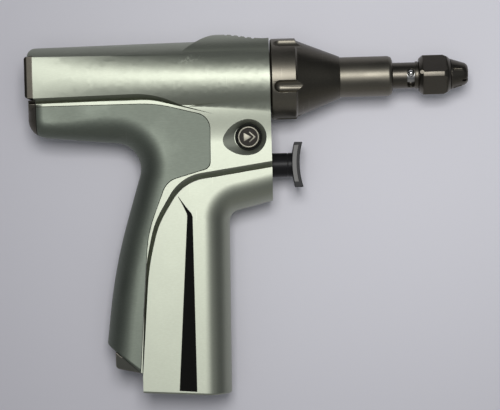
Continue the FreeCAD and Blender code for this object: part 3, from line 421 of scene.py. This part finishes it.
def finish(name, light, deep, roughness, metallic=1.0, gloss=0.5, spread=0.06, grain=2600.0, depth=0.004,
           scratches=0.4, smudges=0.6, rings=0.0, scuff=None, hollow=None):
    """Blasted, turned or moulded finish that clouds slowly between two close tones.

    A scuff is a place, a turn and half sides of its spot. A hollow is the foot, the
    top and the rise of a slow swell of the surface up the flank.
    """
    material = bpy.data.materials.new(name)
    material.use_nodes = True
    nodes = material.node_tree.nodes
    links = material.node_tree.links
    shader = nodes["Principled BSDF"]
    shader.inputs["Metallic"].default_value = metallic
    shader.inputs["Specular IOR Level"].default_value = gloss
    grained = nodes.new("ShaderNodeGroup")
    grained.node_tree = blast_grain
    grained.inputs["Grain per metre"].default_value = grain
    marks = nodes.new("ShaderNodeGroup")
    marks.node_tree = handling_marks
    marks.inputs["Scratches"].default_value = scratches
    marks.inputs["Smudges"].default_value = smudges
    mottle = maths(nodes, links, "MULTIPLY", grained.outputs["Speckle"], mottle_share)
    clouded = maths(nodes, links, "MULTIPLY", grained.outputs["Cloud"], cloud_share)
    tone = blend(nodes, links, maths(nodes, links, "ADD", mottle, clouded), deep, light)
    bare = tuple(min(1.0, value * bare_gain + bare_lift) for value in light[:3]) + (1,)
    scratch = marks.outputs["Scratch"]
    if scuff:
        spot_at, spot_turn, spot_sides = scuff
        spot = nodes.new("ShaderNodeMapping")
        spot.vector_type = "TEXTURE"
        spot.inputs["Location"].default_value = at(*spot_at)
        spot.inputs["Rotation"].default_value = (0, 0, math.radians(spot_turn))
        spot.inputs["Scale"].default_value = [side * mm for side in spot_sides]
        coordinate = nodes.new("ShaderNodeTexCoord")
        links.new(coordinate.outputs["Object"], spot.inputs["Vector"])
        fall = nodes.new("ShaderNodeTexGradient")
        fall.gradient_type = "SPHERICAL"
        links.new(spot.outputs["Vector"], fall.inputs["Vector"])
        rubs = noise(nodes, links, coordinate.outputs["Object"], rubs_per_metre, detail=6.0)
        rubbed = band(nodes, links, rubs, *rub_band)
        spotted = maths(nodes, links, "MULTIPLY", rubbed, fall.outputs["Fac"])
        scratch = maths(nodes, links, "MAXIMUM", scratch, spotted)
    links.new(blend(nodes, links, scratch, tone, bare), shader.inputs["Base Color"])
    oiled = maths(nodes, links, "MULTIPLY", marks.outputs["Smudge"], spread)
    clouding = maths(nodes, links, "MULTIPLY", grained.outputs["Cloud"], spread)
    varied = maths(nodes, links, "SUBTRACT", clouding, oiled)
    links.new(maths(nodes, links, "ADD", varied, roughness), shader.inputs["Roughness"])
    relief = maths(nodes, links, "SUBTRACT", grained.outputs["Height"], scratch)
    if rings:
        feed = nodes.new("ShaderNodeGroup")
        feed.node_tree = lathe_rings
        feed.inputs["Rings per metre"].default_value = rings
        relief = maths(nodes, links, "ADD", relief, feed.outputs["Height"])
    bump = nodes.new("ShaderNodeBump")
    bump.inputs["Strength"].default_value = bump_strength
    bump.inputs["Distance"].default_value = depth * mm
    links.new(relief, bump.inputs["Height"])
    if hollow:
        foot, top, rise = hollow
        coordinate = nodes.new("ShaderNodeTexCoord")
        up = nodes.new("ShaderNodeSeparateXYZ")
        links.new(coordinate.outputs["Object"], up.inputs["Vector"])
        swell = nodes.new("ShaderNodeBump")
        swell.inputs["Distance"].default_value = rise * mm
        links.new(band(nodes, links, up.outputs["Y"], foot * mm, top * mm), swell.inputs["Height"])
        links.new(swell.outputs["Normal"], bump.inputs["Normal"])
    links.new(bump.outputs["Normal"], shader.inputs["Normal"])
    return material


satin_silver = finish("satin_silver", silver, silver_deep, 0.45, spread=0.015, depth=0.009, scuff=scuff_place,
                      hollow=flank_hollow)
# Lighter edge tone of the silver: partly wear, partly painted highlight.
silver_wear_and_highlight = finish("silver_wear_and_highlight_edge", silver_edge_wear_and_highlight, silver, 0.32)
skin("main_housing", "housing", satin_silver, silver_wear_and_highlight, edge=0.2,
     crisp=lambda point: (point - dish_centre).to_2d().length < dish_reach * mm)

# Front grip: the same satin silver, a moulded cover around the front of the handle,
# with an inlaid black stripe that starts in a hooked point and widens to the foot.
# The stripe has worn grey at its point.
body_half = 15
stripe_thickness = 0.12
stripe_worn = ((-46.9, -57.3, body_half), 52, (9, 3, 4))
stripe_rows = [
    ((-48.9, -153.3), (-40.2, -154.0)),
    ((-42.75, -67.2), (-40.0, -67.7)),
    ((-42.9, -65.9), (-40.45, -66.0)),
    ((-44.7, -61.8), (-43.1, -62.6)),
    ((-47.0, -57.5), (-46.8, -57.3)),
]


def ribbon(name, rows, level, thickness):
    """Flat strip through rows of two points, extruded edge by edge from a plane."""
    clear_selection()
    bpy.ops.mesh.primitive_plane_add(size=mm, location=at(*rows[0][0], level))
    piece = bpy.context.object
    piece.name = name
    bpy.ops.object.transform_apply(location=True)
    first = [0, 1]
    last = [2, 3]
    for i, row in enumerate(rows):
        if i > 1:
            pick(piece, last)
            bpy.ops.object.mode_set(mode="EDIT")
            bpy.ops.mesh.extrude_region_move(TRANSFORM_OT_translate={"value": (0, mm, 0)})
            bpy.ops.object.mode_set(mode="OBJECT")
            last = [vertex.index for vertex in piece.data.vertices if vertex.select]
        ends = last if i else first
        ends = sorted(ends, key=lambda index: piece.data.vertices[index].co.x)
        for index, point in zip(ends, row):
            pick(piece, [index])
            bpy.ops.object.mode_set(mode="EDIT")
            bpy.ops.transform.translate(value=at(*point, level) - piece.data.vertices[index].co)
            bpy.ops.object.mode_set(mode="OBJECT")
    thick = piece.modifiers.new("thickness", "SOLIDIFY")
    thick.thickness = thickness * mm
    thick.offset = 0
    bpy.ops.object.modifier_apply(modifier=thick.name)
    return piece


skin("front_grip", "housing", satin_silver, silver_wear_and_highlight, edge=0.3)
stripe_black = finish("stripe_black", (0.006, 0.006, 0.005, 1), (0.004, 0.004, 0.0035, 1), 0.6, metallic=0.0,
                      gloss=0.06, scratches=0.35, scuff=stripe_worn)
for side, name in ((1, "stripe_right"), (-1, "stripe_left")):
    stripe = ribbon(name, stripe_rows, side * body_half, stripe_thickness)
    stripe.data.materials.append(stripe_black)
    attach(stripe, "housing")

# Rear shell: blasted coarser and left matte, a darker grey-green silver.
shell_light = (0.205, 0.229, 0.19, 1)
shell_deep = (0.172, 0.193, 0.16, 1)
matte_silver = finish("matte_silver", shell_light, shell_deep, 0.53, grain=1900.0, scratches=0.3)
# Lighter edge tone of the matte shell: partly wear, partly painted highlight.
matte_wear_and_highlight = finish("matte_wear_and_highlight_edge", (0.30, 0.325, 0.285, 1), shell_light, 0.36)
skin("rear_shell", "housing", matte_silver, matte_wear_and_highlight, edge=0.25)

# Rear caps and heel: titanium with a brown-grey finish, machined and blasted. The
# caps close the barrel and the lobe; the heel is the mouth ring of the battery bay.
# The cap of the lobe has a lighter copy of the finish that is painted light, and the
# heel is greyer.
titanium_light = (0.068, 0.063, 0.052, 1)
titanium_deep = (0.056, 0.051, 0.042, 1)
cap_titanium = finish("cap_titanium", titanium_light, titanium_deep, 0.42)
# Lighter edge tone of the titanium: partly wear, partly painted highlight.
titanium_wear_and_highlight = finish("titanium_wear_and_highlight_edge", (0.17, 0.155, 0.13, 1), titanium_light, 0.34)
# Lighter copy of the titanium for the lobe cap: painted light.
lobe_titanium_painted_light = finish("lobe_titanium_painted_light", (0.16, 0.148, 0.122, 1), (0.13, 0.12, 0.10, 1), 0.5)
heel_titanium = finish("heel_titanium", (0.052, 0.053, 0.046, 1), (0.043, 0.044, 0.038, 1), 0.5)
cap_finish = {
    "rear_cap_upper": cap_titanium,
    "rear_cap_lower": lobe_titanium_painted_light,
    "battery_receiver": heel_titanium,
}
for node, blasted in cap_finish.items():
    skin(node, "housing", blasted, titanium_wear_and_highlight, edge=0.25)

# Handle chassis: a plain cast aluminium block inside the handle, seen only from
# below through the battery bay. It keeps its cast skin.
cast_grey = finish("cast_grey", (0.30, 0.30, 0.29, 1), (0.22, 0.22, 0.21, 1), 0.5, grain=900.0, depth=0.03)
skin("handle_chassis", "housing", cast_grey, edge=0.3)

# Battery contacts: a black nylon block with four gold-plated blades at the top of
# the bay.
nylon_black = finish("nylon_black", (0.035, 0.035, 0.037, 1), (0.022, 0.022, 0.023, 1), 0.5, metallic=0.0,
                     grain=1400.0, depth=0.01)
skin("battery_contacts", "housing", nylon_black, edge=0.15)
gold_plate = finish("gold_plate", (0.78, 0.56, 0.22, 1), (0.68, 0.47, 0.17, 1), 0.22, scratches=0.9)
for i in range(4):
    skin("contact_blade_%d" % (i + 1), "housing", gold_plate, edge=0.08)

# Nose: a turned cone with a fluted collar, and a straight tube ahead of it, in brown-grey
# finishes with faint lathe rings. The collar and the tube are lighter than the cone, partly
# as their own lighter turned tone and partly as painted highlight.
nose_light = (0.125, 0.115, 0.092, 1)
nose_deep = (0.10, 0.092, 0.074, 1)
nose_metal = finish("nose_metal", nose_light, nose_deep, 0.34, rings=2400.0, depth=0.006)
# Lighter edge tone of the nose: partly wear, partly painted highlight.
nose_wear_and_highlight = finish("nose_wear_and_highlight_edge", (0.165, 0.152, 0.124, 1), nose_light, 0.34)
# Lighter finish of the collar and tube: partly its own tone, partly painted highlight.
collar_metal_and_highlight = finish("collar_metal_and_highlight", (0.20, 0.185, 0.15, 1), (0.165, 0.153, 0.124, 1), 0.4, rings=2400.0,
                      depth=0.006)
collar_front = 12.8
for node in ("nose_cone", "nose_tube"):
    nose = skin(node, "housing", nose_metal, nose_wear_and_highlight, edge=0.25)
    nose.data.materials.append(collar_metal_and_highlight)
    for face in nose.data.polygons:
        lighter = node == "nose_tube" or face.center.x < at(collar_front, 0, 0).x
        if face.material_index == 0 and lighter:
            face.material_index = 2

# Blade collet: sleeve, knob and chuck tip turned from the same dark steel, smoother
# than the nose. The sleeve and the knob turn together; the tip stays on the plunger.
collet_metal = finish("collet_metal", (0.125, 0.115, 0.095, 1), (0.103, 0.094, 0.078, 1), 0.32, rings=3200.0)
for node, body in (("collet_sleeve", "collet"), ("collet_knob", "collet"), ("collet_tip", "plunger_unit")):
    skin(node, body, collet_metal, nose_wear_and_highlight, edge=0.15)

# Detent pin: a short polished steel pin that shows through the sleeve's slot.
pin_steel = finish("pin_steel", (0.85, 0.85, 0.82, 1), (0.80, 0.80, 0.77, 1), 0.15, spread=0.02,
                   scratches=0.2)
skin("detent_pin", "plunger_unit", pin_steel, edge=0.1)

# Trigger: a black anodised stem in a bronze bush, and a finger pad with a light grey
# inlay in each side.
black_light = (0.018, 0.018, 0.019, 1)
black_deep = (0.011, 0.011, 0.012, 1)
trigger_black = finish("trigger_black", black_light, black_deep, 0.34, metallic=0.0, gloss=0.15, rings=2600.0)
# Lighter edge tone of the black parts: partly wear, partly painted highlight.
black_wear_and_highlight = finish("black_wear_and_highlight_edge", (0.035, 0.035, 0.036, 1), black_light, 0.34, metallic=0.0, gloss=0.2)
for node in ("trigger_stem", "trigger_pad"):
    skin(node, "trigger", trigger_black, black_wear_and_highlight, edge=0.12)
inlay_grey = finish("inlay_grey", (0.29, 0.285, 0.275, 1), (0.25, 0.245, 0.235, 1), 0.6, metallic=0.0,
                    gloss=0.2, grain=1500.0, depth=0.01)
for node in ("pad_inlay_right", "pad_inlay_left"):
    skin(node, "trigger", inlay_grey, edge=0.05)
bush_bronze = finish("bush_bronze", (0.42, 0.27, 0.13, 1), (0.34, 0.21, 0.10, 1), 0.35, rings=3000.0)
skin("trigger_bush", "housing", bush_bronze, edge=0.15)

# Mode button: a satin button with a round bead in each flank, joined by a steel bolt,
# and a near-black ring in the dish that is painted shade over the dish floor. Its recessed
# face is dark brown and carries a raised bright arrowhead and chevron.
button_face = 14.6
recess_depth = 0.45
recess_radius = 4.6
recess_slack = 0.06
ring_segments = 64
shade_ring_radius = 6.1
shade_ring_width = 0.62
shade_ring_level = 13.0
shade_ring_segments = 10
rim_radius = 4.85
rim_width = 0.5
rim_rise = 0.5
rim_segments = 14
mark_height = 0.35
mark_edge = 0.08
arrow_radius = 2.54
arrow_x = -1.13
chevron_rows = [
    ((0.07, 2.24), (0.53, 2.76)),
    ((2.57, 0.0), (3.63, 0.0)),
    ((0.07, -2.24), (0.53, -2.76)),
]
button_satin = finish("button_satin", (0.25, 0.238, 0.195, 1), (0.21, 0.20, 0.163, 1), 0.4)
recess_brown = finish("recess_brown", (0.028, 0.022, 0.015, 1), (0.018, 0.014, 0.010, 1), 0.5, metallic=0.0,
                      gloss=0.2)
# Near-black ring laid on the floor of the dish: painted shade around the button.
button_shade_ring = finish("button_shade_ring", (0.016, 0.017, 0.014, 1), (0.010, 0.011, 0.009, 1), 0.6, metallic=0.0,
                     gloss=0.1)


def ring(name, level, radius, width, segments, rise, coat):
    """Bead round the button: a torus of a radius and a width, flattened by its rise."""
    clear_selection()
    bpy.ops.mesh.primitive_torus_add(location=at(button_x, button_y, level), major_segments=ring_segments,
                                     minor_segments=segments, major_radius=radius * mm,
                                     minor_radius=width * mm)
    piece = bpy.context.object
    piece.name = name
    piece.scale = (1, 1, rise)
    bpy.ops.object.transform_apply(location=True, scale=True)
    bpy.ops.object.shade_smooth()
    piece.data.materials.append(coat)
    return piece


for side, hand in ((1, "right"), (-1, "left")):
    button = skin("mode_button_" + hand, "mode_selector", button_satin, edge=0.08)
    button.data.materials.append(recess_brown)
    floor = (button_face - recess_depth) * mm
    for face in button.data.polygons:
        reach = (face.center - dish_centre).to_2d().length
        if reach < recess_radius * mm and abs(side * face.center.z - floor) < recess_slack * mm:
            face.material_index = 1
    # Painted shade ring on the dish floor.
    shade_ring = ring("button_shade_ring_" + hand, side * shade_ring_level, shade_ring_radius, shade_ring_width, shade_ring_segments, 1,
                button_shade_ring)
    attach(shade_ring, "housing")
    rim = ring("button_rim_" + hand, side * button_face, rim_radius, rim_width, rim_segments, rim_rise,
               button_satin)
    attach(rim, "mode_selector")
    level = side * (button_face - recess_depth + mark_height / 2)
    placed_rows = [[(button_x + x, button_y + y) for x, y in row] for row in chevron_rows]
    chevron = ribbon("chevron", placed_rows, level, mark_height)
    clear_selection()
    bpy.ops.mesh.primitive_cylinder_add(vertices=3, radius=arrow_radius * mm, depth=mark_height * mm,
                                        location=at(button_x + arrow_x, button_y, level),
                                        rotation=(0, 0, math.radians(-90)))
    arrow = bpy.context.object
    bpy.ops.object.transform_apply(location=True, rotation=True, scale=True)
    chevron.select_set(True)
    bpy.ops.object.join()
    arrow.name = "mode_mark_" + hand
    softened = arrow.modifiers.new("softened", "BEVEL")
    softened.width = mark_edge * mm
    softened.segments = 2
    bpy.ops.object.modifier_apply(modifier=softened.name)
    bpy.ops.object.shade_smooth_by_angle(angle=math.radians(smooth_angle))
    arrow.data.materials.append(button_satin)
    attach(arrow, "mode_selector")

# Drive, closed inside the barrel: a motor with copper windings, a planetary gear, a
# barrel cam and the plunger that it drives, in ground steel and bronze.
ground_steel = finish("ground_steel", (0.50, 0.50, 0.49, 1), (0.42, 0.42, 0.41, 1), 0.28, rings=3600.0)
winding_copper = finish("winding_copper", (0.62, 0.28, 0.13, 1), (0.48, 0.20, 0.09, 1), 0.35, rings=1400.0,
                        depth=0.2)
magnet_nickel = finish("magnet_nickel", (0.36, 0.35, 0.33, 1), (0.30, 0.29, 0.27, 1), 0.25)
seal_rubber = finish("seal_rubber", (0.025, 0.025, 0.026, 1), (0.018, 0.018, 0.019, 1), 0.6, metallic=0.0)
board_green = finish("board_green", (0.015, 0.09, 0.035, 1), (0.01, 0.06, 0.025, 1), 0.4, metallic=0.0,
                     grain=700.0, depth=0.02)
inner_finish = {
    ground_steel: ("motor_can", "motor_bearing_rear", "motor_bearing_front", "rotor_shaft", "ring_gear",
                   "planet_1", "planet_2", "planet_3", "carrier", "cam_drum", "drive_bearing", "plunger",
                   "cam_follower", "mode_bolt"),
    bush_bronze: ("plunger_bush_rear", "plunger_bush_front"),
    winding_copper: ("motor_windings",),
    magnet_nickel: ("rotor_magnet",),
    seal_rubber: ("rod_seal",),
    board_green: ("controller_board",),
}
for material, inner in inner_finish.items():
    for node in inner:
        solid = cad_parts[node]
        solid.data.materials.clear()
        solid.data.materials.append(material)
